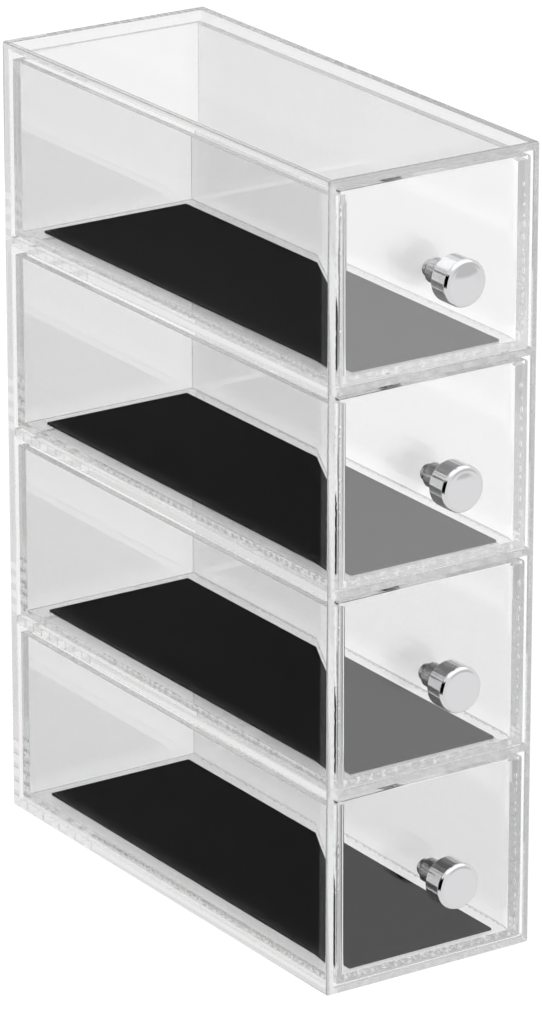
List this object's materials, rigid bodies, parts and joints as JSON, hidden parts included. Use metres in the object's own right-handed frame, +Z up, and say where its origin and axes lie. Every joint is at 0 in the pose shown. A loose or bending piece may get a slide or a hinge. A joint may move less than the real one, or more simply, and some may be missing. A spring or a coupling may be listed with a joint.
{
  "type": "desktop drawer tower",
  "caption": "Tall narrow clear case with equal drawers stacked one above another, each with a black liner pad and a round metal knob.",
  "frame": {"origin": "centre of the underside of the case", "axes": "+Z up; the drawer fronts face -Y; the width runs along X"},
  "size_m": [0.076, 0.2014, 0.26],
  "materials": {
    "clear_acrylic": "clear, polished",
    "liner_pad": "matt black, fine grain",
    "chrome": "bright chrome plate",
    "steel": "bright zinc plate"
  },
  "bodies": {
    "case": {"case_top": "clear_acrylic", "case_bottom": "clear_acrylic", "case_left_side": "clear_acrylic", "case_right_side": "clear_acrylic", "case_back": "clear_acrylic", "shelf_1": "clear_acrylic", "shelf_2": "clear_acrylic", "shelf_3": "clear_acrylic"},
    "drawer_1": {"drawer_1_front": "clear_acrylic", "drawer_1_back": "clear_acrylic", "drawer_1_left_side": "clear_acrylic", "drawer_1_right_side": "clear_acrylic", "drawer_1_floor": "clear_acrylic", "drawer_1_liner": "liner_pad", "drawer_1_knob": "chrome", "drawer_1_screw": "steel"},
    "drawer_2": {"drawer_2_front": "clear_acrylic", "drawer_2_back": "clear_acrylic", "drawer_2_left_side": "clear_acrylic", "drawer_2_right_side": "clear_acrylic", "drawer_2_floor": "clear_acrylic", "drawer_2_liner": "liner_pad", "drawer_2_knob": "chrome", "drawer_2_screw": "steel"},
    "drawer_3": {"drawer_3_front": "clear_acrylic", "drawer_3_back": "clear_acrylic", "drawer_3_left_side": "clear_acrylic", "drawer_3_right_side": "clear_acrylic", "drawer_3_floor": "clear_acrylic", "drawer_3_liner": "liner_pad", "drawer_3_knob": "chrome", "drawer_3_screw": "steel"},
    "drawer_4": {"drawer_4_front": "clear_acrylic", "drawer_4_back": "clear_acrylic", "drawer_4_left_side": "clear_acrylic", "drawer_4_right_side": "clear_acrylic", "drawer_4_floor": "clear_acrylic", "drawer_4_liner": "liner_pad", "drawer_4_knob": "chrome", "drawer_4_screw": "steel"}
  },
  "joints": [
    {"name": "drawer_1_slide", "type": "slide", "parent": "case", "child": "drawer_1", "axis": [0, -1, 0], "range_m": [0, 0.16]},
    {"name": "drawer_2_slide", "type": "slide", "parent": "case", "child": "drawer_2", "axis": [0, -1, 0], "range_m": [0, 0.16]},
    {"name": "drawer_3_slide", "type": "slide", "parent": "case", "child": "drawer_3", "axis": [0, -1, 0], "range_m": [0, 0.16]},
    {"name": "drawer_4_slide", "type": "slide", "parent": "case", "child": "drawer_4", "axis": [0, -1, 0], "range_m": [0, 0.16]}
  ]
}
